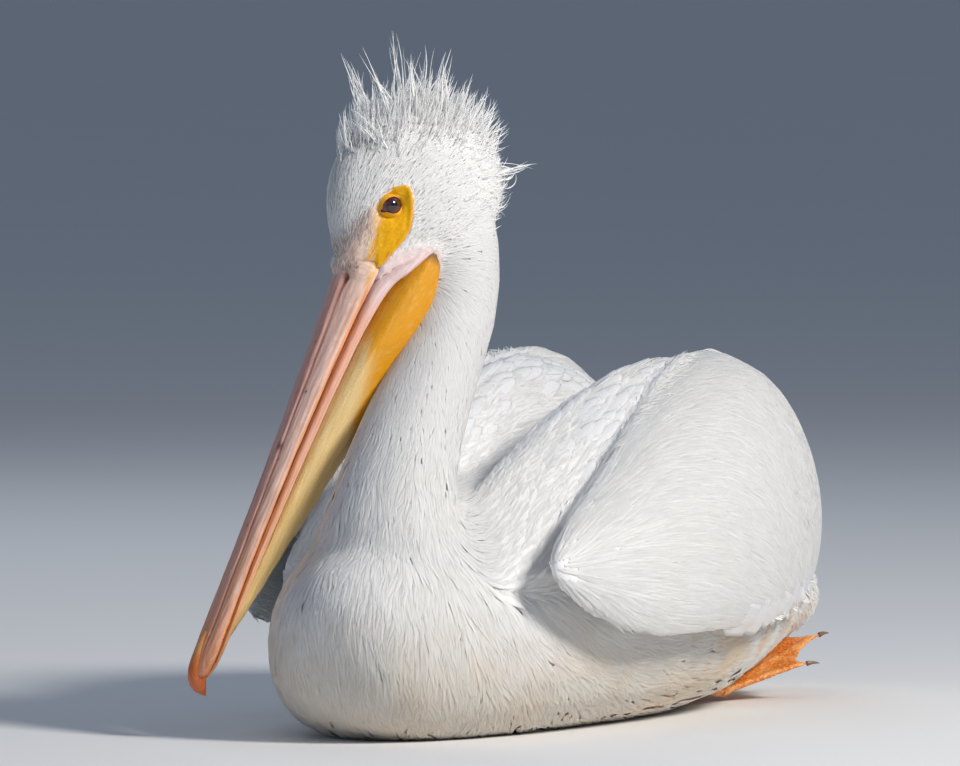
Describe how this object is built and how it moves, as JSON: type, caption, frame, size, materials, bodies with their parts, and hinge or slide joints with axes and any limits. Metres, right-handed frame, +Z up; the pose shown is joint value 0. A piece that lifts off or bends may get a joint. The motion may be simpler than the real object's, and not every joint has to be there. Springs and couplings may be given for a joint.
{
  "type": "pelican",
  "caption": "Life-size white pelican afloat, at rest: head turned and long pouched bill pointing down, shaggy crest, wings folded high, webbed feet tucked under.",
  "frame": {"origin": "on the floor under the middle of the whole bird, at the level of the belly's flat", "axes": "+Z up, the body faces -Y with the tail toward +Y, and +X is the bird's left; the head is turned to its right"},
  "size_m": [0.3714, 0.728, 0.5062],
  "materials": {
    "plumage": "white body feathers, soft, matt",
    "crest_plumage": "loose hair-like white feathers",
    "flight_feathers": "black outer primaries with pale shafts, satin",
    "tail_plumage": "white tail feathers, satin",
    "bill_horn": "flesh-pink horn, streaked and finely ridged, satin",
    "nail_horn": "orange horn, satin",
    "mandible_skin": "salmon-pink skin over bone, satin",
    "pouch_skin": "golden-yellow elastic skin fading to cream, satin",
    "eye": "dark brown eye, wet gloss",
    "foot_skin": "orange webbed skin, satin"
  },
  "bodies": {
    "root": {"trunk": "plumage", "neck": "plumage", "head": "plumage", "crest": "crest_plumage", "eye_left": "eye", "eye_right": "eye", "bill_upper": "bill_horn", "bill_nail": "nail_horn", "bill_lower": "mandible_skin", "pouch": "pouch_skin", "shoulder_left": "plumage", "wing_left": "plumage", "primaries_left": "flight_feathers", "foot_left": "foot_skin", "leg_left": "foot_skin", "shoulder_right": "plumage", "wing_right": "plumage", "primaries_right": "flight_feathers", "foot_right": "foot_skin", "leg_right": "foot_skin", "tail": "tail_plumage"}
  },
  "joints": []
}
